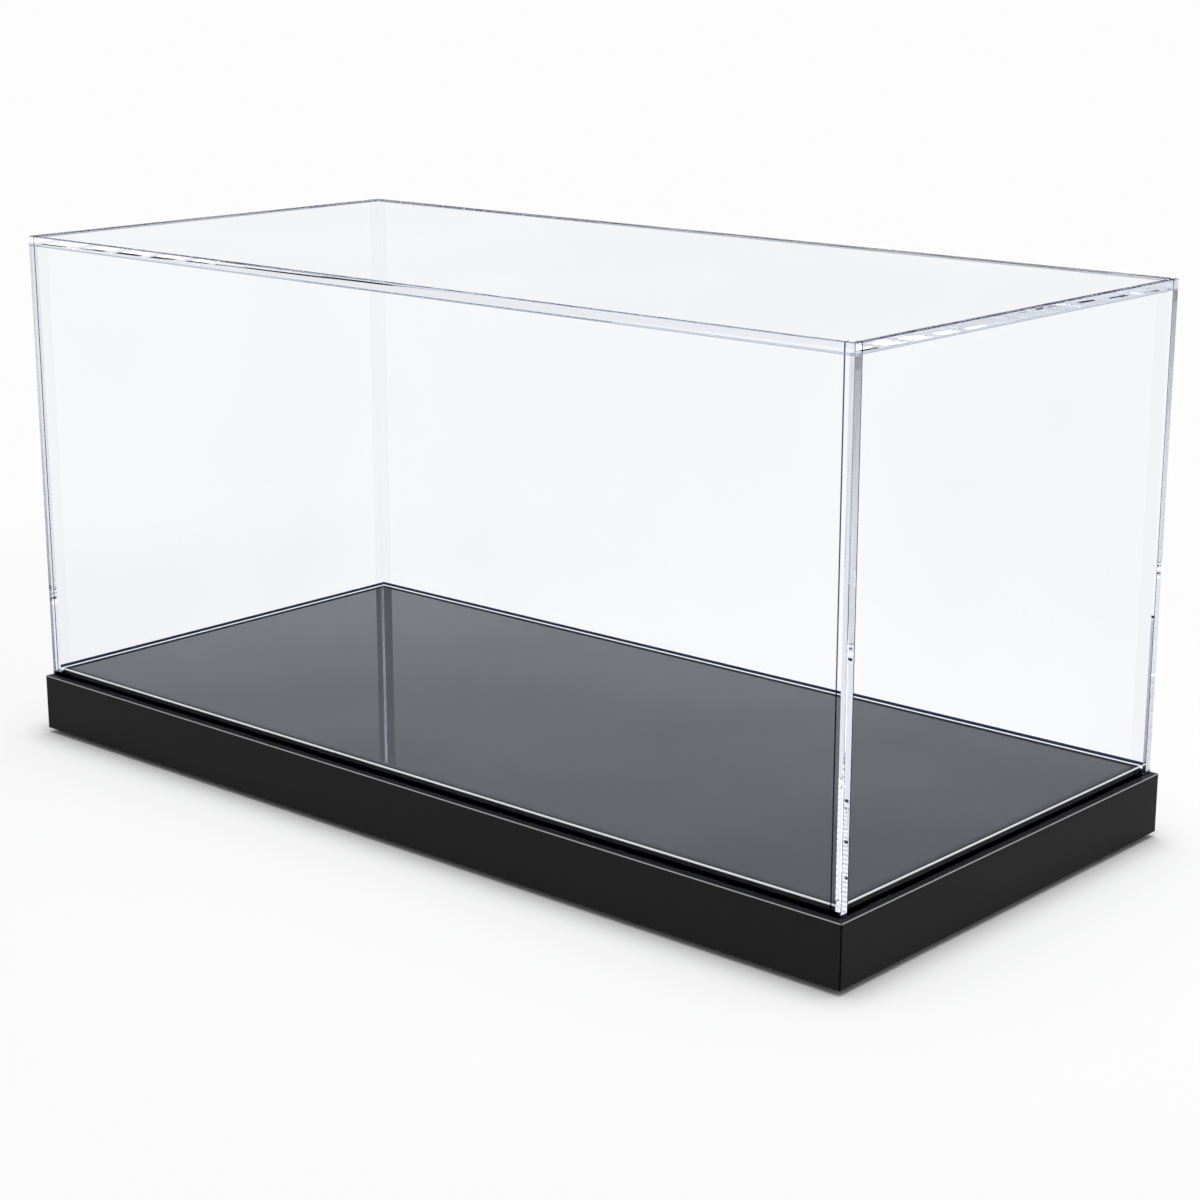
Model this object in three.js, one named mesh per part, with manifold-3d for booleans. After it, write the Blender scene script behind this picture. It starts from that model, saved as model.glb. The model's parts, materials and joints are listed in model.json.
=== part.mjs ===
// Acrylic display case: a clear five-panel cover that lifts off a black plinth with a raised deck.
// Millimetres. +Z is up, +X runs along the length and -Y faces the front.
// The origin is the centre of the footprint, on the surface that the feet stand on.
import * as THREE from "three";
import { mergeVertices, toCreasedNormals } from "three/addons/utils/BufferGeometryUtils.js";
import Module from "manifold-3d";

const wasm = await Module();
wasm.setup();

// Plinth: four mitred skirts round a platform sheet that lies flush with their top edge.
const plinthLength = 360;
const plinthDepth = 172;
const plinthHeight = 20;
const skirtThickness = 3;
const platformThickness = 3;

// Cover: a top panel over two long walls, with the end walls set between these.
const coverInset = 2;
const coverHeight = 160;
const wallThickness = 3;
const topThickness = 3;

// Deck: the raised plate that the cover drops over.
const deckThickness = 3;
const deckClearance = 0.5;

// Corner blocks: one glued into each inner corner of the plinth, level with its bottom rim.
const blockWidth = 18;
const blockNoseRadius = 8;

// Feet: soft bumpers stuck under the corner blocks.
const footRadius = 5;
const footHeight = 1.5;
const footDraft = 0.4;
const footEdgeRadius = 0.5;

// Joints and edges. The seat gap lies under the cover, which only rests on the plinth.
const bondLine = 0.1;
const seatGap = 0.1;
const arrisRadius = 0.5;

// How far a cut runs past what it cuts.
const cutOverrun = 1;

// Facets round one arris, round a block's nose, round a foot's lower edge and round a whole foot.
const arrisSteps = 4;
const noseSteps = 8;
const footEdgeSteps = 4;
const footSides = 32;

// Sizes that follow from those above.
const coverLength = plinthLength - 2 * coverInset;
const coverDepth = plinthDepth - 2 * coverInset;
const wallHeight = coverHeight - topThickness - bondLine;
const deckMargin = coverInset + wallThickness + deckClearance;
const plinthBottom = footHeight + bondLine;
const plinthTop = plinthBottom + plinthHeight;

// Faces that meet at less than this angle are shaded as one curved surface.
const creaseAngle = THREE.MathUtils.degToRad(40);

// Materials
const clearColour = 0xf3f5fb;
const clearOpacity = 0.25;
const satinColour = 0x262626;
const glossColour = 0x101113;
const rubberColour = 0x1b1b1b;

function clearAcrylic() {
  return new THREE.MeshStandardMaterial({
    color: clearColour,
    roughness: 0.03,
    metalness: 0,
    transparent: true,
    opacity: clearOpacity,
  });
}

function satinAcrylic() {
  return new THREE.MeshStandardMaterial({ color: satinColour, roughness: 0.35, metalness: 0 });
}

function glossAcrylic() {
  return new THREE.MeshStandardMaterial({ color: glossColour, roughness: 0.04, metalness: 0 });
}

function softRubber() {
  return new THREE.MeshStandardMaterial({ color: rubberColour, roughness: 0.8, metalness: 0 });
}

// Solids

// A closed geometry as a solid for joining and cutting.
function solidOf(geometry) {
  geometry.deleteAttribute("normal");
  geometry.deleteAttribute("uv");
  const merged = mergeVertices(geometry);
  return new wasm.Manifold(
    new wasm.Mesh({
      numProp: 3,
      vertProperties: merged.attributes.position.array,
      triVerts: new Uint32Array(merged.index.array),
    }),
  );
}

// A solid as a named mesh, flat where it is flat and smooth round its arrises.
function meshOf(solid, name, material) {
  const { vertProperties, triVerts } = solid.getMesh();
  const geometry = new THREE.BufferGeometry();
  geometry.setAttribute("position", new THREE.BufferAttribute(vertProperties, 3));
  geometry.setIndex(new THREE.BufferAttribute(triVerts, 1));
  const mesh = new THREE.Mesh(toCreasedNormals(geometry, creaseAngle), material);
  mesh.name = name;
  return mesh;
}

// A rectangle centred on the origin with all four corners rounded.
function roundedRectangle(width, height, radius) {
  const x = width / 2;
  const y = height / 2;
  const quarter = Math.PI / 2;
  const outline = new THREE.Shape();
  outline.absarc(x - radius, y - radius, radius, 0, quarter);
  outline.absarc(radius - x, y - radius, radius, quarter, 2 * quarter);
  outline.absarc(radius - x, radius - y, radius, 2 * quarter, 3 * quarter);
  outline.absarc(x - radius, radius - y, radius, 3 * quarter, 4 * quarter);
  return outline;
}

// An outline swept by the given length, half to each side. The basis says where its own X, Y and Z point.
function sweep(outline, length, basis, steps) {
  const geometry = new THREE.ExtrudeGeometry(outline, {
    depth: length,
    bevelEnabled: false,
    curveSegments: steps,
  });
  geometry.translate(0, 0, -length / 2);
  geometry.applyMatrix4(new THREE.Matrix4().makeBasis(...basis));
  return solidOf(geometry);
}

const alongX = new THREE.Vector3(1, 0, 0);
const alongY = new THREE.Vector3(0, 1, 0);
const alongZ = new THREE.Vector3(0, 0, 1);
const planView = [alongX, alongY, alongZ];
const sideView = [alongY, alongZ, alongX];
const frontView = [alongZ, alongX, alongY];

// A block, centred on the origin, whose twelve edges are polished to an arris: what its plan, side view
// and front view share.
function polishedBlock(length, depth, height) {
  const radius = Math.min(arrisRadius, length / 2, depth / 2, height / 2);
  const plan = sweep(roundedRectangle(length, depth, radius), height, planView, arrisSteps);
  const side = sweep(roundedRectangle(depth, height, radius), length, sideView, arrisSteps);
  const front = sweep(roundedRectangle(height, length, radius), depth, frontView, arrisSteps);
  return plan.intersect(side).intersect(front);
}

// The box between two corners, as a cutter.
function boxBetween(low, high) {
  const size = high.clone().sub(low);
  const centre = low.clone().add(high).divideScalar(2);
  const geometry = new THREE.BoxGeometry(size.x, size.y, size.z);
  geometry.translate(centre.x, centre.y, centre.z);
  return solidOf(geometry);
}

// Cover: one polished block, sawn into its five panels along the cement lines.

function buildCover() {
  const group = new THREE.Group();
  const block = polishedBlock(coverLength, coverDepth, coverHeight);
  const outerX = coverLength / 2;
  const outerY = coverDepth / 2;
  const outerZ = coverHeight / 2;
  const wallTop = wallHeight - outerZ;
  const endY = outerY - wallThickness - bondLine;

  const panels = {
    top_panel: [
      [-outerX, -outerY, outerZ - topThickness],
      [outerX, outerY, outerZ],
    ],
    front_panel: [
      [-outerX, -outerY, -outerZ],
      [outerX, wallThickness - outerY, wallTop],
    ],
    back_panel: [
      [-outerX, outerY - wallThickness, -outerZ],
      [outerX, outerY, wallTop],
    ],
    left_end_panel: [
      [-outerX, -endY, -outerZ],
      [wallThickness - outerX, endY, wallTop],
    ],
    right_end_panel: [
      [outerX - wallThickness, -endY, -outerZ],
      [outerX, endY, wallTop],
    ],
  };
  for (const [name, [low, high]] of Object.entries(panels)) {
    const saw = boxBetween(new THREE.Vector3(...low), new THREE.Vector3(...high));
    group.add(meshOf(block.intersect(saw), name, clearAcrylic()));
  }
  group.position.z = plinthTop + seatGap + outerZ;
  return group;
}

// Skirts: a polished frame, sawn at 45 degrees through its corners.

// Plan of one skirt, longer and wider than the skirt by the cut's overrun. Its long edge faces -Y, at the
// given distance from the middle, and its ends lie half a cement line short of the mitres.
function skirtPlan(length, distance) {
  const ease = bondLine / Math.SQRT2;
  const outer = length / 2 + cutOverrun - ease;
  const inner = length / 2 - skirtThickness - cutOverrun - ease;
  const outerY = -distance - cutOverrun;
  const innerY = skirtThickness + cutOverrun - distance;
  return new THREE.Shape([
    new THREE.Vector2(-outer, outerY),
    new THREE.Vector2(outer, outerY),
    new THREE.Vector2(inner, innerY),
    new THREE.Vector2(-inner, innerY),
  ]);
}

function buildSkirts() {
  const group = new THREE.Group();
  const sawHeight = plinthHeight + 2 * cutOverrun;
  const innerX = plinthLength / 2 - skirtThickness;
  const innerY = plinthDepth / 2 - skirtThickness;
  const innerZ = plinthHeight / 2 + cutOverrun;
  const pocket = boxBetween(
    new THREE.Vector3(-innerX, -innerY, -innerZ),
    new THREE.Vector3(innerX, innerY, innerZ),
  );
  const frame = polishedBlock(plinthLength, plinthDepth, plinthHeight).subtract(pocket);

  const sides = [
    { name: "front_skirt", length: plinthLength, distance: plinthDepth / 2, turns: 0 },
    { name: "right_skirt", length: plinthDepth, distance: plinthLength / 2, turns: 1 },
    { name: "back_skirt", length: plinthLength, distance: plinthDepth / 2, turns: 2 },
    { name: "left_skirt", length: plinthDepth, distance: plinthLength / 2, turns: 3 },
  ];
  for (const { name, length, distance, turns } of sides) {
    const angle = turns * Math.PI / 2;
    const across = new THREE.Vector3(Math.cos(angle), Math.sin(angle), 0).round();
    const basis = [across, alongZ.clone().cross(across), alongZ];
    const saw = sweep(skirtPlan(length, distance), sawHeight, basis, 1);
    group.add(meshOf(frame.intersect(saw), name, satinAcrylic()));
  }
  group.position.z = plinthBottom + plinthHeight / 2;
  return group;
}

// Platform: the sheet inside the skirts. The cover stands on its edge and on the skirts.
function buildPlatform() {
  const x = plinthLength / 2 - skirtThickness - bondLine;
  const y = plinthDepth / 2 - skirtThickness - bondLine;
  const sheet = boxBetween(new THREE.Vector3(-x, -y, -platformThickness), new THREE.Vector3(x, y, 0));
  const mesh = meshOf(sheet, "platform_sheet", glossAcrylic());
  mesh.position.z = plinthTop;
  return mesh;
}

// Deck: a polished plate glued to the platform, a running clearance inside the cover's walls.
function buildDeck() {
  const length = plinthLength - 2 * deckMargin;
  const depth = plinthDepth - 2 * deckMargin;
  const plate = polishedBlock(length, depth, deckThickness);
  const mesh = meshOf(plate, "deck_plate", glossAcrylic());
  mesh.position.z = plinthTop + bondLine + deckThickness / 2;
  return mesh;
}

// Corners

const corners = [
  { name: "front_left", x: -1, y: -1, turns: 0 },
  { name: "front_right", x: 1, y: -1, turns: 1 },
  { name: "back_right", x: 1, y: 1, turns: 2 },
  { name: "back_left", x: -1, y: 1, turns: 3 },
];
const blockReachX = plinthLength / 2 - skirtThickness - bondLine - blockWidth / 2;
const blockReachY = plinthDepth / 2 - skirtThickness - bondLine - blockWidth / 2;

// A square block whose nose, the corner towards the middle of the plinth, is rounded.
function cornerBlock() {
  const half = blockWidth / 2;
  const centre = half - blockNoseRadius;
  const height = plinthHeight - platformThickness - bondLine;
  const outline = new THREE.Shape();
  outline.moveTo(-half, -half);
  outline.lineTo(half, -half);
  outline.absarc(centre, centre, blockNoseRadius, 0, Math.PI / 2);
  outline.lineTo(-half, half);
  return sweep(outline, height, planView, noseSteps).translate([0, 0, height / 2]);
}

// A bumper that narrows towards the floor, with a rounded lower edge.
function bumperFoot() {
  const foot = footRadius - footDraft;
  const edge = footEdgeRadius;
  const profile = new THREE.Path();
  profile.moveTo(0, 0);
  profile.lineTo(foot - edge, 0);
  profile.absarc(foot - edge, edge, edge, -Math.PI / 2, 0);
  profile.lineTo(footRadius, footHeight);
  profile.lineTo(0, footHeight);
  const geometry = new THREE.LatheGeometry(profile.getPoints(footEdgeSteps), footSides);
  return solidOf(geometry.rotateX(Math.PI / 2));
}

function buildCorners() {
  const group = new THREE.Group();
  for (const { name, x, y, turns } of corners) {
    const block = meshOf(cornerBlock(), "corner_block_" + name, glossAcrylic());
    block.position.set(x * blockReachX, y * blockReachY, plinthBottom);
    block.rotation.z = turns * Math.PI / 2;
    const foot = meshOf(bumperFoot(), "foot_" + name, softRubber());
    foot.position.set(x * blockReachX, y * blockReachY, 0);
    group.add(block, foot);
  }
  return group;
}

const base = new THREE.Group();
base.add(buildSkirts(), buildPlatform(), buildDeck(), buildCorners());

const displayCase = new THREE.Group();
displayCase.name = "acrylic_display_case";
displayCase.add(base, buildCover());

export default displayCase;
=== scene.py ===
"""Acrylic display case: a clear cemented cover on a black plinth with a raised gloss deck."""

import json
import math

import bpy
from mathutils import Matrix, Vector


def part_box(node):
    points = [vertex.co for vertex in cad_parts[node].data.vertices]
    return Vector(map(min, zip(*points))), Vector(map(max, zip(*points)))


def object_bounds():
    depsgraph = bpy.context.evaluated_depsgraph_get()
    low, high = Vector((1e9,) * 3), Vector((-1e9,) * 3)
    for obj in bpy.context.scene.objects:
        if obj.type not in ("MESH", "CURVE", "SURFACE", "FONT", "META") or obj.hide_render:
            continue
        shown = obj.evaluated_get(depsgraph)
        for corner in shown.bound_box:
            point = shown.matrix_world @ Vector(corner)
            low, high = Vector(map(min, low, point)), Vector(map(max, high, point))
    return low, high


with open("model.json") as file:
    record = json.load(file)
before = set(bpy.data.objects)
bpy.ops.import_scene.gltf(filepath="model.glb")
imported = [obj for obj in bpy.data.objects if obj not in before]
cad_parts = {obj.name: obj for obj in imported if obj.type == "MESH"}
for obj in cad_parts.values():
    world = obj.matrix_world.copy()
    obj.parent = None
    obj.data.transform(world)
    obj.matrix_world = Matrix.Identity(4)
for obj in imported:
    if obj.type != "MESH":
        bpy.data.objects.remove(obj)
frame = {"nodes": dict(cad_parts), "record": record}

CAD_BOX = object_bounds()

MM = 0.001
BLACK = (0.0, 0.0, 0.0, 1.0)
WHITE = (1.0, 1.0, 1.0, 1.0)

# Camera: where it stands, how it is turned, and its lens on the usual 36 mm sensor.
CAMERA_PLACE = Vector((0.561, -0.6135, 0.2855))
CAMERA_AZIMUTH = math.radians(41.68)
CAMERA_ELEVATION = math.radians(14.87)
CAMERA_LENS = 75.9
CAMERA_CLIP_START = 0.01


def add_camera():
    data = bpy.data.cameras.new("camera")
    data.lens = CAMERA_LENS
    data.clip_start = CAMERA_CLIP_START
    camera = bpy.data.objects.new("camera", data)
    level = math.cos(CAMERA_ELEVATION)
    ahead = Vector((
        -math.sin(CAMERA_AZIMUTH) * level,
        math.cos(CAMERA_AZIMUTH) * level,
        -math.sin(CAMERA_ELEVATION),
    ))
    camera.location = CAMERA_PLACE
    camera.rotation_euler = ahead.to_track_quat("-Z", "Y").to_euler()
    bpy.context.scene.collection.objects.link(camera)
    bpy.context.scene.camera = camera


add_camera()


class Shading:
    """Adds and joins the nodes of one material or world. A mask is a value that is 0 or 1."""

    def __init__(self, owner):
        owner.use_nodes = True
        self.owner = owner
        self.tree = owner.node_tree
        self.tree.nodes.clear()

    def node(self, kind, settings=None, **sockets):
        """A node of that kind. A socket is given by its name, with _ for a space, as a value or a link."""
        made = self.tree.nodes.new(kind)
        for name, value in (settings or {}).items():
            setattr(made, name, value)
        for name, value in sockets.items():
            self.feed(made.inputs[name.replace("_", " ")], value)
        return made

    def feed(self, socket, value):
        if isinstance(value, bpy.types.NodeSocket):
            self.tree.links.new(value, socket)
        else:
            socket.default_value = value

    def math(self, operation, *values):
        made = self.tree.nodes.new("ShaderNodeMath")
        made.operation = operation
        for socket, value in zip(made.inputs, values):
            self.feed(socket, value)
        return made.outputs[0]

    def absolute(self, value):
        return self.math("ABSOLUTE", value)

    def above(self, value, limit):
        return self.math("GREATER_THAN", value, limit)

    def below(self, value, limit):
        return self.math("LESS_THAN", value, limit)

    def near(self, value, level, reach):
        """1 where value lies within reach of level."""
        return self.below(self.absolute(self.math("SUBTRACT", value, level)), reach)

    def both(self, *values):
        """1 where every value is 1."""
        result = values[0]
        for value in values[1:]:
            result = self.math("MULTIPLY", result, value)
        return result

    def either(self, *values):
        """1 where any value is 1."""
        result = values[0]
        for value in values[1:]:
            result = self.math("MAXIMUM", result, value)
        return result

    def invert(self, value):
        return self.math("SUBTRACT", 1.0, value)

    def length(self, first, second):
        squares = [self.math("POWER", value, 2.0) for value in (first, second)]
        return self.math("SQRT", self.math("ADD", *squares))

    def mix(self, share, first, second):
        """A mix of two shaders."""
        made = self.tree.nodes.new("ShaderNodeMixShader")
        self.feed(made.inputs[0], share)
        self.tree.links.new(first, made.inputs[1])
        self.tree.links.new(second, made.inputs[2])
        return made.outputs[0]

    def mixed(self, data_type, kind, share, first, second):
        """A mix of two values of one kind."""
        made = self.tree.nodes.new("ShaderNodeMix")
        made.data_type = data_type
        sockets = {socket.identifier: socket for socket in made.inputs}
        self.feed(sockets["Factor_Float"], share)
        self.feed(sockets["A_" + kind], first)
        self.feed(sockets["B_" + kind], second)
        return next(socket for socket in made.outputs if socket.identifier == "Result_" + kind)

    def blend(self, share, first, second):
        """A mix of two colours."""
        return self.mixed("RGBA", "Color", share, first, second)

    def choose(self, share, first, second):
        """A mix of two vectors."""
        return self.mixed("VECTOR", "Vector", share, first, second)

    def direction(self, x, y, z):
        """A direction given in the piece's own frame, turned with the piece."""
        own = self.node("ShaderNodeCombineXYZ", X=x, Y=y, Z=z)
        settings = {"vector_type": "NORMAL", "convert_from": "OBJECT", "convert_to": "WORLD"}
        return self.node("ShaderNodeVectorTransform", settings, Vector=own.outputs[0]).outputs[0]

    def ramp(self, value, low, high, low_to=0.0, high_to=1.0, smooth=False):
        """A value between low and high, moved to lie between low_to and high_to."""
        made = self.tree.nodes.new("ShaderNodeMapRange")
        made.interpolation_type = "SMOOTHERSTEP" if smooth else "LINEAR"
        self.feed(made.inputs["Value"], value)
        self.feed(made.inputs["From Min"], low)
        self.feed(made.inputs["From Max"], high)
        self.feed(made.inputs["To Min"], low_to)
        self.feed(made.inputs["To Max"], high_to)
        return made.outputs["Result"]

    def noise(self, scale, detail=2.0, roughness=0.5, vector=None):
        made = self.node("ShaderNodeTexNoise", Scale=scale, Detail=detail, Roughness=roughness)
        self.feed(made.inputs["Vector"], vector or self.place())
        return made.outputs["Fac"]

    def patches(self, noise, between, to=(0.0, 1.0)):
        """Random patches: the noise's settings, its range that counts, and the range that it turns into."""
        return self.ramp(self.noise(*noise), *between, *to)

    def place(self):
        """The point on the piece, in metres in the row frame at rest."""
        return self.node("ShaderNodeTexCoord").outputs["Object"]

    def stretched(self, scale):
        """The point on the piece, stretched along the axes."""
        return self.node("ShaderNodeMapping", Vector=self.place(), Scale=scale).outputs[0]

    def normal(self):
        """The parts of the normal in the piece's own frame."""
        return self.split(self.node("ShaderNodeTexCoord").outputs["Normal"])

    def split(self, vector):
        made = self.tree.nodes.new("ShaderNodeSeparateXYZ")
        self.tree.links.new(vector, made.inputs[0])
        return made.outputs[0], made.outputs[1], made.outputs[2]

    def finish(self, surface, volume=None):
        output = self.tree.nodes.new("ShaderNodeOutputMaterial")
        self.tree.links.new(surface, output.inputs["Surface"])
        if volume is not None:
            self.tree.links.new(volume, output.inputs["Volume"])
        return self.owner


def new_material(name):
    return Shading(bpy.data.materials.new(name))


# How many mirror bounces lie behind a ray: less than the first with none, less than the second with
# at most one, and more than the third once the sheets guide it.
NO_BOUNCE = 0.5
ONE_BOUNCE = 1.5
GUIDED_BOUNCES = 3.5

# The largest part of a normal: least on a flat face, least on a level face, and most on an arris.
FLAT_LEAST = 0.9
LEVEL_LEAST = 0.995
ARRIS_MOST = 0.93


def rounded(s, normal):
    """1 on the middle of the rounded arrises, whose faces look along no axis, 0 on the flat faces."""
    across = s.math("MAXIMUM", s.absolute(normal[0]), s.absolute(normal[1]))
    return s.below(s.math("MAXIMUM", across, s.absolute(normal[2])), ARRIS_MOST)


# Clear acrylic: the sheet itself, its haze, and the ripple that a saw leaves on its edges

ACRYLIC_IOR = 1.49
SHEET_TINT = (0.52, 0.55, 0.67, 1.0)
SHEET_DENSITY = 1.5
SHADOW_TINT = (0.985, 0.986, 0.99, 1.0)
HAZE = ((9.0, 4.0, 0.55), (0.35, 0.65))
WALL_HAZE = ((0.983, 0.985, 0.988, 1.0), (0.994, 0.995, 0.997, 1.0))
LID_HAZE = ((0.973, 0.975, 0.982, 1.0), (0.984, 0.986, 0.991, 1.0))
SAW_NOISE = (1.0, 1.0, 0.5)
SAW_RIPPLE = 0.002 * MM
SAW_FINE = 1500.0
SAW_LONG = 12.0

# The share of partial reflections that light guided inside a sheet keeps, and the part of the light
# turned back from which a face counts as a mirror.
GUIDED_SHEEN = 0.5
MIRROR_LEAST = 0.9

# Clear acrylic: the sizes and limits of its marks

JOINT_REACH = 0.3 * MM
SEAM_HALF_WIDTH = 0.25 * MM
SEAM_INSET = 1.0 * MM
LEVEL_SEAM_HALF_WIDTH = 0.2 * MM
INNER_FACE_REACH = 0.2 * MM
# How wide the painted corner strips are, and how far up their painted reflection lightens.
CORNER_STRIP = 4.5 * MM
CORNER_FADE = 110.0 * MM
# The painted shade on the long walls' ends: where it stops, how far it deepens and how light it stays.
END_GRAIN_GAP = 0.5 * MM
END_GRAIN_DROP = 4.0 * MM
END_GRAIN_FADE = 50.0 * MM
END_GRAIN_STEP = 0.1 * MM
END_GRAIN_LIGHT = 0.6
END_GRAIN_TOP_LIGHT = 0.75
LEVEL_ARRIS_LEAST = 0.1
ARRIS_START = 0.6 * MM
FOOT_HEIGHT = 0.55 * MM
# Where the painted shade along the walls' foot and just over the deck lies.
LOW_HEIGHT = 1.3 * MM
FOOT_LINE_RISE = 0.6 * MM
FOOT_LINE_REACH = 0.55 * MM
FOOT_LINE_TILT_MOST = 0.5

# Clear acrylic: the tints of its marks. The corner strips, arrises, walls' ends and foot carry painted
# shade and painted reflections; the seams' tints are the cement's own.

# Painted shade on the inner strips beside the upright joints, and the painted dark reflection of those
# corners seen in a mirror, darker low down.
CORNER_STRIP_PAINTED_SHADE = (0.955, 0.957, 0.972, 1.0)
CORNER_PAINTED_REFLECTION_LOW = (0.30, 0.31, 0.33, 1.0)
CORNER_PAINTED_REFLECTION_HIGH = (0.85, 0.86, 0.88, 1.0)
# Painted shade on the rounded arrises: grey-lavender on the upright ones, deeper on the level ones, a paler
# blue on level ones met from inside.
UPRIGHT_ARRIS_PAINTED_SHADE = (0.78, 0.80, 0.87, 1.0)
LEVEL_ARRIS_PAINTED_SHADE = (0.60, 0.64, 0.82, 1.0)
BACK_ARRIS_PAINTED_SHADE = (0.78, 0.84, 1.0, 1.0)
LEVEL_SEAM_TINT = (0.54, 0.58, 0.71, 1.0)
FAR_EDGE_TINT = (0.92, 0.95, 1.0, 1.0)
SEAM_TINT = (0.08, 0.09, 0.18, 1.0)
# Painted shade along the walls' foot and just over the deck.
FOOT_PAINTED_SHADE = (0.03, 0.035, 0.08, 1.0)


class Cover:
    """Where the cover's panels meet, in the row frame at rest."""

    def __init__(self):
        top_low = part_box("top_panel")[0]
        front_low, front_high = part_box("front_panel")
        end_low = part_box("right_end_panel")[0]
        self.inner_x = end_low.x
        self.inner_y = -front_high.y
        self.bottom = front_low.z
        self.joint_z = (top_low.z + front_high.z) / 2
        self.deck_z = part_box("deck_plate")[1].z


COVER = Cover()


class CoverMarks:
    """Masks of places on the cover and of the rays that meet them."""

    def __init__(self, s):
        self.s = s
        x, y, self.z = s.split(s.place())
        self.across_x = s.absolute(x)
        self.across_y = s.absolute(y)
        self.normal = s.normal()
        looks = [s.above(s.absolute(part), FLAT_LEAST) for part in self.normal]
        self.looks_x, self.looks_y, self.looks_z = looks
        self.over_joint = s.above(self.z, COVER.joint_z)
        self.under_joint = s.below(self.z, COVER.joint_z)
        self.front_facing = s.invert(s.node("ShaderNodeNewGeometry").outputs["Backfacing"])
        light = s.node("ShaderNodeLightPath")
        self.outside = s.below(light.outputs["Glossy Depth"], NO_BOUNCE)
        self.early = s.below(light.outputs["Glossy Depth"], ONE_BOUNCE)
        self.diffuse_ray = light.outputs["Is Diffuse Ray"]
        self.shadow_ray = light.outputs["Is Shadow Ray"]

    def bonded(self):
        """Where cement joins the walls to the top panel."""
        s = self.s
        over_walls = s.either(s.above(self.across_x, COVER.inner_x), s.above(self.across_y, COVER.inner_y))
        return s.both(self.looks_z, s.near(self.z, COVER.joint_z, JOINT_REACH), over_walls)

    def sawn_edge(self):
        """The narrow polished faces of the sheets and their rounded arrises."""
        s = self.s
        top_edge = s.both(self.over_joint, s.below(s.absolute(self.normal[2]), LEVEL_LEAST))
        end_edge = s.both(s.above(self.across_x, COVER.inner_x), s.above(self.across_y, COVER.inner_y))
        return s.either(top_edge, end_edge)

    def far_edge(self):
        """The polished edges of the top panel, where a ray meets them from inside the sheet."""
        s = self.s
        return s.both(self.sawn_edge(), s.invert(self.front_facing), self.outside, self.over_joint)

    def level_arris(self):
        """Where the normal leans up or down."""
        return self.s.above(self.s.absolute(self.normal[2]), LEVEL_ARRIS_LEAST)

    def arris(self):
        """The rounded arrises, where shade is painted: the level ones from both sides, the upright ones
        from outside.
        """
        s = self.s
        return s.both(
            rounded(s, self.normal),
            s.above(self.z, COVER.bottom + ARRIS_START),
            s.either(self.level_arris(), self.front_facing),
            self.early,
        )

    def seam(self):
        """The upright hairlines of cement on the outer faces, where the walls meet."""
        s = self.s
        long_wall = s.both(
            s.near(self.across_x, COVER.inner_x - SEAM_HALF_WIDTH, SEAM_HALF_WIDTH),
            s.above(self.across_y, COVER.inner_y + SEAM_INSET),
        )
        end_wall = s.both(
            s.near(self.across_y, COVER.inner_y - SEAM_HALF_WIDTH, SEAM_HALF_WIDTH),
            s.above(self.across_x, COVER.inner_x + SEAM_INSET),
            s.invert(self.looks_y),
        )
        return s.both(s.either(long_wall, end_wall), self.front_facing, self.early)

    def level_seam(self):
        """The line of cement under the top panel."""
        s = self.s
        return s.both(
            s.near(self.z, COVER.joint_z - LEVEL_SEAM_HALF_WIDTH, LEVEL_SEAM_HALF_WIDTH),
            self.early,
        )

    def painted_corner_strips(self):
        """The strips of the walls' inner faces beside the upright joints, where shade and the corners' dark
        reflection are painted.
        """
        s = self.s
        long_wall = s.both(
            self.looks_y,
            s.below(self.across_y, COVER.inner_y + INNER_FACE_REACH),
            s.above(self.across_x, COVER.inner_x - CORNER_STRIP),
        )
        end_wall = s.both(
            self.looks_x,
            s.below(self.across_x, COVER.inner_x + INNER_FACE_REACH),
            s.above(self.across_y, COVER.inner_y - CORNER_STRIP),
        )
        return s.both(s.either(long_wall, end_wall), self.front_facing, self.early, self.under_joint)

    def end_grain(self):
        """The ends of the long walls, on the case's end faces, where shade is painted."""
        s = self.s
        return s.both(
            s.above(self.across_y, COVER.inner_y),
            self.looks_x,
            self.outside,
            self.front_facing,
            s.below(self.z, COVER.joint_z - END_GRAIN_GAP),
        )

    def foot(self):
        """The lower edges of the walls."""
        return self.s.below(self.z, COVER.bottom + FOOT_HEIGHT)

    def deck_edge_painted_shade(self):
        """The inner faces of the walls just over the deck, where the deck's dark edge is painted on the
        sheet as shade.
        """
        s = self.s
        return s.both(
            s.near(self.z, COVER.deck_z + FOOT_LINE_RISE, FOOT_LINE_REACH),
            s.below(self.across_x, COVER.inner_x + INNER_FACE_REACH),
            s.below(self.across_y, COVER.inner_y + INNER_FACE_REACH),
            s.invert(s.above(s.absolute(self.normal[2]), FOOT_LINE_TILT_MOST)),
            self.front_facing,
        )

    def painted_foot_shade(self):
        """The dark lines painted as shade along the bottom of the walls."""
        s = self.s
        low = s.both(s.below(self.z, COVER.bottom + LOW_HEIGHT), self.outside)
        return s.both(s.either(low, self.deck_edge_painted_shade()), self.early)


def end_grain_painted_shade(s, z):
    """The painted shade on the long walls' ends: it deepens upwards, and most just under the top panel."""
    under_lid = COVER.joint_z - END_GRAIN_DROP
    shade = s.ramp(z, COVER.joint_z - END_GRAIN_FADE, under_lid, 1.0, END_GRAIN_LIGHT)
    top_shade = s.ramp(z, under_lid - END_GRAIN_STEP, under_lid, 1.0, END_GRAIN_TOP_LIGHT)
    return s.blend(s.math("MULTIPLY", shade, top_shade), BLACK, WHITE)


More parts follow.
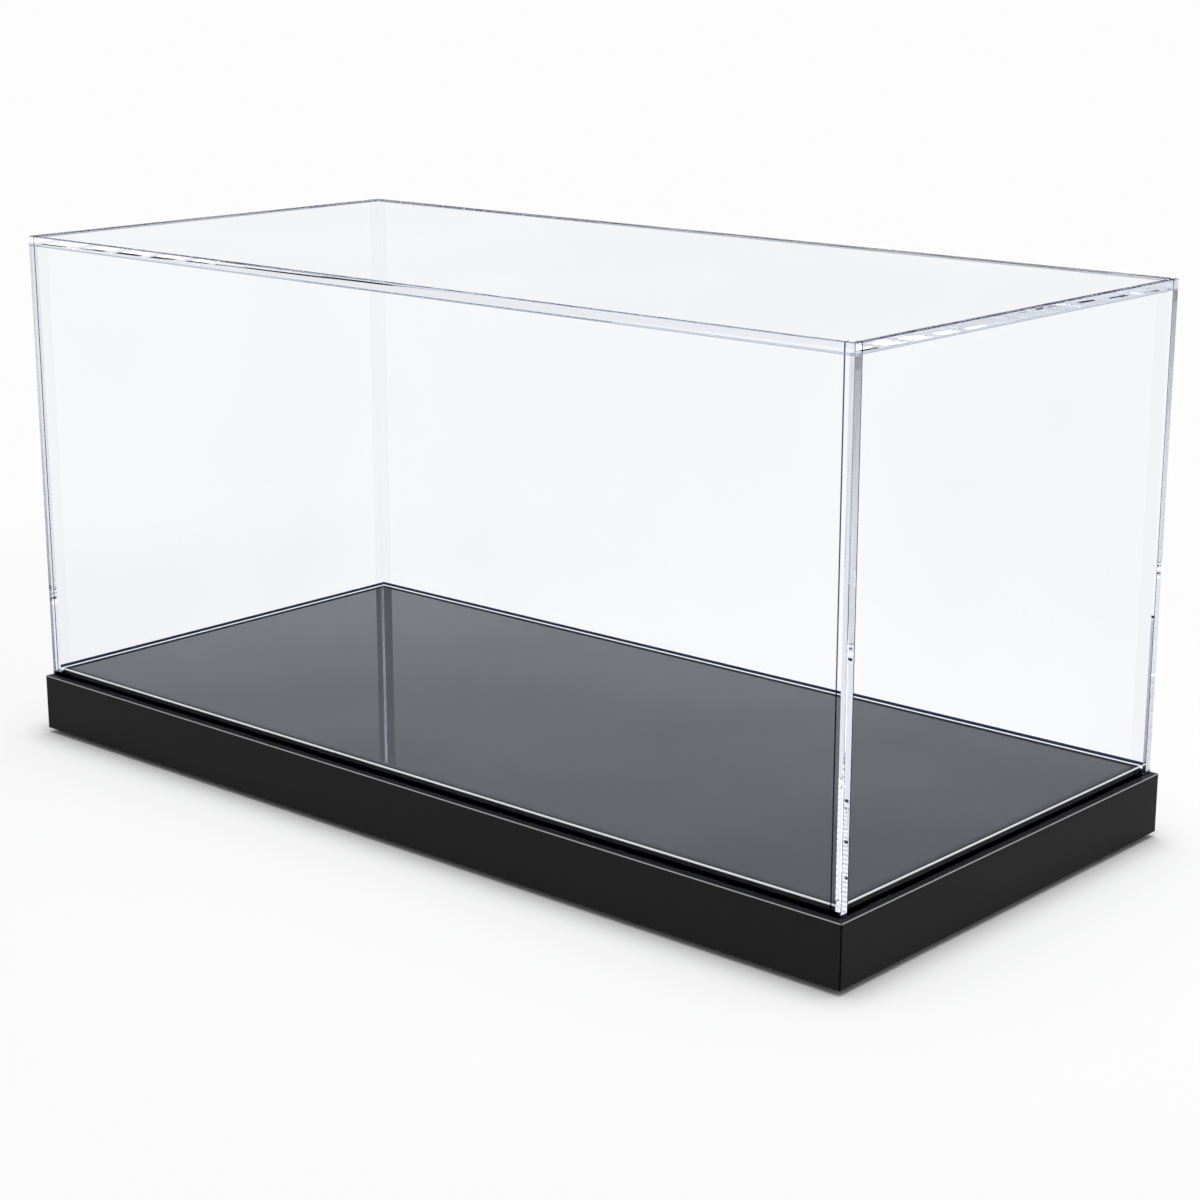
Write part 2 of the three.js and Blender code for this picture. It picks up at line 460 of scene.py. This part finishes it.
def sheet_colour(s, marks):
    """The clear sheet's faint haze, then the tint of each mark, the later ones over the earlier. Most marks
    are painted shade and painted reflections; the seams are the cement's own colour.
    """
    haze = s.patches(*HAZE)
    colour = s.blend(marks.over_joint, s.blend(haze, *WALL_HAZE), s.blend(haze, *LID_HAZE))
    # The strips get painted shade seen straight on, and a painted dark reflection, darkest at the deck,
    # seen after one mirror.
    painted_strip = marks.painted_corner_strips()
    painted_reflection_rise = s.ramp(marks.z, COVER.deck_z, COVER.deck_z + CORNER_FADE)
    level_arris_painted_shade = s.blend(marks.front_facing, BACK_ARRIS_PAINTED_SHADE, LEVEL_ARRIS_PAINTED_SHADE)
    painted_corner_reflection = s.blend(painted_reflection_rise, CORNER_PAINTED_REFLECTION_LOW, CORNER_PAINTED_REFLECTION_HIGH)
    tints = [
        (s.both(painted_strip, marks.outside), CORNER_STRIP_PAINTED_SHADE),
        (s.both(painted_strip, s.invert(marks.outside)), painted_corner_reflection),
        (marks.end_grain(), end_grain_painted_shade(s, marks.z)),
        (marks.arris(), s.blend(marks.level_arris(), UPRIGHT_ARRIS_PAINTED_SHADE, level_arris_painted_shade)),
        (marks.level_seam(), LEVEL_SEAM_TINT),
        (marks.far_edge(), FAR_EDGE_TINT),
        (marks.seam(), SEAM_TINT),
        (marks.painted_foot_shade(), FOOT_PAINTED_SHADE),
    ]
    for place, tint in tints:
        colour = s.blend(place, colour, tint)
    return colour


def sheet_facing(s, marks):
    """The ripple that sawing leaves on the edges. The walls' lower edges are level."""
    upright = s.stretched((SAW_FINE, SAW_FINE, SAW_LONG))
    level = s.stretched((SAW_LONG, SAW_LONG, SAW_FINE))
    lines = s.blend(marks.over_joint, upright, level)
    ripple = s.both(s.noise(*SAW_NOISE, lines), marks.sawn_edge(), marks.outside)
    bump = s.node("ShaderNodeBump", Strength=1.0, Distance=SAW_RIPPLE, Height=ripple)
    return s.choose(marks.foot(), bump.outputs[0], s.direction(0.0, 0.0, 1.0))


def clear_acrylic():
    """It guides the light that enters its edges. Shadow and diffuse rays pass straight through it."""
    s = new_material("clear_acrylic")
    marks = CoverMarks(s)
    look = {"Roughness": 0.0, "IOR": ACRYLIC_IOR, "Normal": sheet_facing(s, marks)}
    colour = sheet_colour(s, marks)
    glass = s.node("ShaderNodeBsdfPrincipled", Base_Color=colour, Transmission_Weight=1.0, **look)
    clean = s.node("ShaderNodeBsdfRefraction", Color=colour, **look)
    turned_back = s.above(s.node("ShaderNodeFresnel", IOR=ACRYLIC_IOR).outputs[0], MIRROR_LEAST)
    guided = s.math("MULTIPLY", s.invert(marks.early), GUIDED_SHEEN)
    sheet = s.mix(s.math("MAXIMUM", turned_back, guided), clean.outputs[0], glass.outputs[0])
    through = s.node("ShaderNodeBsdfTransparent", Color=WHITE)
    shadow = s.node("ShaderNodeBsdfTransparent", Color=SHADOW_TINT)
    soft = s.mix(marks.diffuse_ray, sheet, shadow.outputs[0])
    lit = s.mix(marks.shadow_ray, soft, shadow.outputs[0])
    surface = s.mix(marks.bonded(), lit, through.outputs[0])
    tint = s.node("ShaderNodeVolumeAbsorption", Color=SHEET_TINT, Density=SHEET_DENSITY)
    return s.finish(surface, tint.outputs[0])


# Black acrylic

# Black for the skirts' mitre joints, and for the dark line painted as shade along the deck's top.
JOINT_AND_SHADE_BLACK = (0.001, 0.001, 0.001, 1.0)
MITRE_REACH = 0.3 * MM
# The skirts' top arris carries a painted highlight.
SKIRT_ARRIS_DROP = 0.6 * MM
SKIRT_ARRIS_LEAST = 0.4
SKIRT_BLACK = (0.0185, 0.0185, 0.0185, 1.0)
SKIRT_ARRIS_HIGHLIGHT = (0.34, 0.34, 0.35, 1.0)
SKIRT_ROUGHNESS = ((40.0,), (0.3, 0.7), (0.28, 0.36))
SKIRT_SHINE = 0.03
SKIRT_GRAIN = (900.0, 3.0)
SKIRT_GRAIN_STRENGTH = 0.08
GRAIN_DEPTH = 0.2 * MM

# The deck: its rolled edge, the painted highlight on the upper strip of its sides and the dark line painted
# as shade along its top.
EDGE_ROLL = 3.0 * MM
EDGE_TILT = 0.14
EDGE_LIGHT = 0.55 * MM
PAINTED_LINE_WIDTH = 0.7 * MM
RIM_TILT_MOST = 0.95
RIM_TILT_LEAST = -0.1
TOP_LEAST = 0.97
RIM_HIGHLIGHT = (0.95, 0.95, 0.96, 1.0)
DECK_CLOUDS = ((14.0, 4.0, 0.55), (0.35, 0.68))
DECK_ROUGHNESS = ((12.0,), (0.3, 0.7), (0.008, 0.02))
DECK_SHINE = 1.0
DUST_ROUGHNESS = ((60.0,), (0.3, 0.7), (0.3, 0.45))
DUST_SHINE = 0.1
# The film is the deck's own, lightened by a painted sheen that stands for the walls' reflection over it.
DECK_FILM_AND_SHEEN = ((0.031, 0.031, 0.031, 1.0), (0.052, 0.052, 0.052, 1.0))
DECK_DUST = ((0.012, 0.012, 0.013, 1.0), (0.024, 0.024, 0.025, 1.0))


def dark_joint_and_painted_shade(s):
    return s.node("ShaderNodeBsdfDiffuse", Color=JOINT_AND_SHADE_BLACK).outputs[0]


def mitre(s):
    """1 on the hairline where two skirts meet at a corner of the plinth."""
    x, y, z = s.split(s.place())
    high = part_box("right_skirt")[1]
    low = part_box("front_skirt")[0]
    return s.both(
        s.above(s.absolute(x), high.x - MITRE_REACH),
        s.above(s.absolute(y), -low.y - MITRE_REACH),
    )


def satin_black():
    s = new_material("satin_black_acrylic")
    normal = s.normal()
    z = s.split(s.place())[2]
    # The top arris gets a painted highlight.
    arris = s.both(
        rounded(s, normal),
        s.above(normal[2], SKIRT_ARRIS_LEAST),
        s.above(z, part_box("front_skirt")[1].z - SKIRT_ARRIS_DROP),
    )
    grain = s.noise(*SKIRT_GRAIN)
    bump = s.node("ShaderNodeBump", Strength=SKIRT_GRAIN_STRENGTH, Distance=GRAIN_DEPTH, Height=grain)
    shader = s.node(
        "ShaderNodeBsdfPrincipled",
        Base_Color=s.blend(arris, SKIRT_BLACK, SKIRT_ARRIS_HIGHLIGHT),
        Roughness=s.patches(*SKIRT_ROUGHNESS),
        IOR=ACRYLIC_IOR,
        Specular_IOR_Level=SKIRT_SHINE,
        Normal=bump.outputs[0],
    )
    return s.finish(s.mix(mitre(s), shader.outputs[0], dark_joint_and_painted_shade(s)))


def rolled_normal(s, x, y, normal):
    """The deck's top tilts outwards by a few degrees along its edges, as polishing leaves it."""
    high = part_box("deck_plate")[1]
    across = []
    for value, limit in ((x, high.x), (y, high.y)):
        tilt = s.ramp(s.absolute(value), limit - EDGE_ROLL, limit, 0.0, EDGE_TILT)
        across.append(s.math("MULTIPLY", tilt, s.math("SIGN", value)))
    plain = s.node("ShaderNodeNewGeometry").outputs["Normal"]
    return s.choose(s.above(normal[2], LEVEL_LEAST), plain, s.direction(across[0], across[1], 1.0))


def gloss_black():
    """The deck's mirror top under a thin uneven film with painted sheen, its rim with a painted highlight,
    a dark line painted as shade inside it, and dusty sides and ledge below.
    """
    s = new_material("gloss_black_acrylic")
    normal = s.normal()
    x, y, z = s.split(s.place())
    deck_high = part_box("deck_plate")[1]
    near_top = s.above(z, deck_high.z - EDGE_LIGHT)
    # The rim: a painted highlight on the upper strip of the deck's sides.
    painted_rim_highlight = s.both(near_top, s.below(normal[2], RIM_TILT_MOST), s.above(normal[2], RIM_TILT_LEAST))
    clouds = s.patches(*DECK_CLOUDS)
    polished = s.node(
        "ShaderNodeBsdfPrincipled",
        Base_Color=s.blend(painted_rim_highlight, s.blend(clouds, *DECK_FILM_AND_SHEEN), RIM_HIGHLIGHT),
        Roughness=s.patches(*DECK_ROUGHNESS),
        IOR=ACRYLIC_IOR,
        Specular_IOR_Level=DECK_SHINE,
        Normal=rolled_normal(s, x, y, normal),
    )
    # A dark line painted as shade along the top, just inside the rim.
    by_edge = s.either(
        s.above(s.absolute(x), deck_high.x - PAINTED_LINE_WIDTH),
        s.above(s.absolute(y), deck_high.y - PAINTED_LINE_WIDTH),
    )
    line = s.both(s.above(normal[2], TOP_LEAST), near_top, by_edge)
    dusty = s.node(
        "ShaderNodeBsdfPrincipled",
        Base_Color=s.blend(clouds, *DECK_DUST),
        Roughness=s.patches(*DUST_ROUGHNESS),
        IOR=ACRYLIC_IOR,
        Specular_IOR_Level=DUST_SHINE,
    )
    top = s.mix(line, polished.outputs[0], dark_joint_and_painted_shade(s))
    return s.finish(s.mix(near_top, dusty.outputs[0], top))


# Rubber

RUBBER_DUST = ((260.0, 4.0, 0.6), (0.45, 0.75))
RUBBER_ROUGHNESS = (0.62, 0.85)
RUBBER_GRAIN = (1400.0, 3.0)
RUBBER_GRAIN_STRENGTH = 0.25
RUBBER_COLOURS = ((0.012, 0.012, 0.012, 1.0), (0.045, 0.043, 0.041, 1.0))


def bumper_rubber():
    s = new_material("bumper_rubber")
    dust = s.patches(*RUBBER_DUST)
    grain = s.noise(*RUBBER_GRAIN)
    bump = s.node("ShaderNodeBump", Strength=RUBBER_GRAIN_STRENGTH, Distance=GRAIN_DEPTH, Height=grain)
    shader = s.node(
        "ShaderNodeBsdfPrincipled",
        Base_Color=s.blend(dust, *RUBBER_COLOURS),
        Roughness=s.ramp(dust, 0.0, 1.0, *RUBBER_ROUGHNESS),
        Normal=bump.outputs[0],
    )
    return s.finish(shader.outputs[0])


FINISHES = {
    "clear_acrylic": clear_acrylic,
    "satin_black_acrylic": satin_black,
    "gloss_black_acrylic": gloss_black,
    "bumper_rubber": bumper_rubber,
}


def dress_nodes():
    slots = {part["node"]: part["material_slot"] for part in frame["record"]["subparts"]}
    made = {slot: build() for slot, build in FINISHES.items()}
    for name, node in frame["nodes"].items():
        for slot in node.material_slots:
            slot.material = made[slots[name]]


dress_nodes()


# Stage: a pale floor that keeps the case's shadow and turns white away from it.

FLOOR_RADIUS = 6.0
FLOOR_SIDES = 96
FADE_START = 0.03
FADE_END = 0.32
FLOOR_COLOUR = (0.95, 0.95, 0.95, 1.0)
BACKGROUND = 0.98


def seen_directly(s):
    """1 for rays that show the background: from the camera, or by a mirror or clear piece."""
    light = s.node("ShaderNodeLightPath")
    shown = s.either(
        light.outputs["Is Camera Ray"],
        light.outputs["Is Glossy Ray"],
        light.outputs["Is Transmission Ray"],
    )
    return s.both(shown, s.below(light.outputs["Diffuse Depth"], NO_BOUNCE))


def floor_finish():
    s = new_material("floor")
    lit = s.node("ShaderNodeBsdfDiffuse", Color=FLOOR_COLOUR)
    white = s.node("ShaderNodeEmission", Color=WHITE, Strength=BACKGROUND)
    x, y, z = s.split(s.place())
    high = CAD_BOX[1]
    beyond_x = s.math("MAXIMUM", s.math("SUBTRACT", s.absolute(x), high[0]), 0.0)
    beyond_y = s.math("MAXIMUM", s.math("SUBTRACT", s.absolute(y), high[1]), 0.0)
    fade = s.ramp(s.length(beyond_x, beyond_y), FADE_START, FADE_END, smooth=True)
    return s.finish(s.mix(s.both(fade, seen_directly(s)), lit.outputs[0], white.outputs[0]))


def add_floor():
    bpy.ops.mesh.primitive_circle_add(vertices=FLOOR_SIDES, radius=FLOOR_RADIUS, fill_type="NGON")
    floor = bpy.context.object
    floor.name = "floor"
    floor.data.materials.append(floor_finish())


# World: an even light, white behind the case. Heights are parts of a direction's length.

AMBIENT = 0.45
ROOM_LOW = 0.12
ROOM_HIGH = 0.42
ROOM_LIGHT_LOW = 0.98
ROOM_LIGHT_HIGH = 0.36
ROOM_TINT_HIGH = 0.36
ROOM_TINT = (0.8, 0.86, 1.0, 1.0)
GUIDED_ROOM_LIGHT = 1.1
GUIDED_ROOM_TINT = (0.97, 0.98, 1.0, 1.0)

# The directions of the two tall softboxes that the polished edges mirror, and how wide they are.
SOFTBOX_TURN = math.radians(48.7)
SOFTBOX_HALF_WIDTH = math.radians(22.0)
SOFTBOX_BLUR = 0.03
SOFTBOX_FOOT = (0.02, 0.06)
SOFTBOX_TOP = (0.80, 0.74)
SOFTBOX_LIGHT = 1.3
SOFTBOX_GUIDED_LIGHT = 0.8


def softboxes(s, x, y, height):
    """1 in the two softboxes, which rise on opposite sides of the case, 0 beside and below them."""
    along = s.math(
        "ADD",
        s.math("MULTIPLY", x, math.cos(SOFTBOX_TURN)),
        s.math("MULTIPLY", y, math.sin(SOFTBOX_TURN)),
    )
    towards = s.math("DIVIDE", s.absolute(along), s.length(x, y))
    edge = math.cos(SOFTBOX_HALF_WIDTH)
    inside = s.ramp(towards, edge - SOFTBOX_BLUR, edge + SOFTBOX_BLUR)
    return s.both(inside, s.ramp(height, *SOFTBOX_FOOT))


def add_world():
    """White behind the case and an even light on it. Mirrors show a darker room with two tall softboxes."""
    world = bpy.data.worlds.new("studio")
    bpy.context.scene.world = world
    s = Shading(world)
    x, y, height = s.split(s.node("ShaderNodeTexCoord").outputs["Generated"])
    ambient = s.node("ShaderNodeBackground", Color=WHITE, Strength=AMBIENT)
    backdrop = s.node("ShaderNodeBackground", Color=WHITE, Strength=BACKGROUND)
    boxes = softboxes(s, x, y, height)
    box_light = s.both(boxes, s.ramp(height, *SOFTBOX_TOP, 0.0, SOFTBOX_LIGHT))
    room_light = s.ramp(height, ROOM_LOW, ROOM_HIGH, ROOM_LIGHT_LOW, ROOM_LIGHT_HIGH)
    room = s.node(
        "ShaderNodeBackground",
        Color=s.blend(s.ramp(height, ROOM_LOW, ROOM_TINT_HIGH), WHITE, ROOM_TINT),
        Strength=s.math("ADD", room_light, box_light),
    )
    guided_light = s.math("MULTIPLY", boxes, SOFTBOX_GUIDED_LIGHT)
    guided_room = s.node(
        "ShaderNodeBackground",
        Color=GUIDED_ROOM_TINT,
        Strength=s.math("ADD", GUIDED_ROOM_LIGHT, guided_light),
    )
    depth = s.node("ShaderNodeLightPath").outputs["Glossy Depth"]
    mirrored = s.mix(s.above(depth, GUIDED_BOUNCES), room.outputs[0], guided_room.outputs[0])
    shown = s.mix(s.above(depth, NO_BOUNCE), backdrop.outputs[0], mirrored)
    mixed = s.mix(seen_directly(s), ambient.outputs[0], shown)
    output = s.tree.nodes.new("ShaderNodeOutputWorld")
    s.tree.links.new(mixed, output.inputs["Surface"])


# The soft lamp over the case. A bare mirror doesn't show its outline. The deck under the cover does, from
# above, because the mirrored ray then passes through the clear top panel.

LAMP_PLACE = (0.06, 0.06, 1.2)
LAMP_AIM = (0, 0, 0)
LAMP_WIDTH = 1.2
LAMP_DEPTH = 0.9
LAMP_POWER = 11.1


def add_lamp():
    data = bpy.data.lights.new("overhead_softbox", "AREA")
    data.shape = "RECTANGLE"
    data.size = LAMP_WIDTH
    data.size_y = LAMP_DEPTH
    data.energy = LAMP_POWER
    lamp = bpy.data.objects.new("overhead_softbox", data)
    lamp.location = LAMP_PLACE
    lamp.rotation_euler = (Vector(LAMP_AIM) - Vector(LAMP_PLACE)).to_track_quat("-Z", "Y").to_euler()
    bpy.context.scene.collection.objects.link(lamp)
    lamp.visible_glossy = False


add_floor()
add_world()
add_lamp()

# A ray that enters an edge of the clear sheet is turned back by its faces many times.
SHEET_BOUNCES = 160


def set_bounces():
    settings = bpy.context.scene.cycles
    settings.max_bounces = SHEET_BOUNCES
    settings.glossy_bounces = SHEET_BOUNCES
    settings.transmission_bounces = SHEET_BOUNCES
    settings.transparent_max_bounces = SHEET_BOUNCES


set_bounces()
bpy.context.scene.view_settings.view_transform = "Standard"
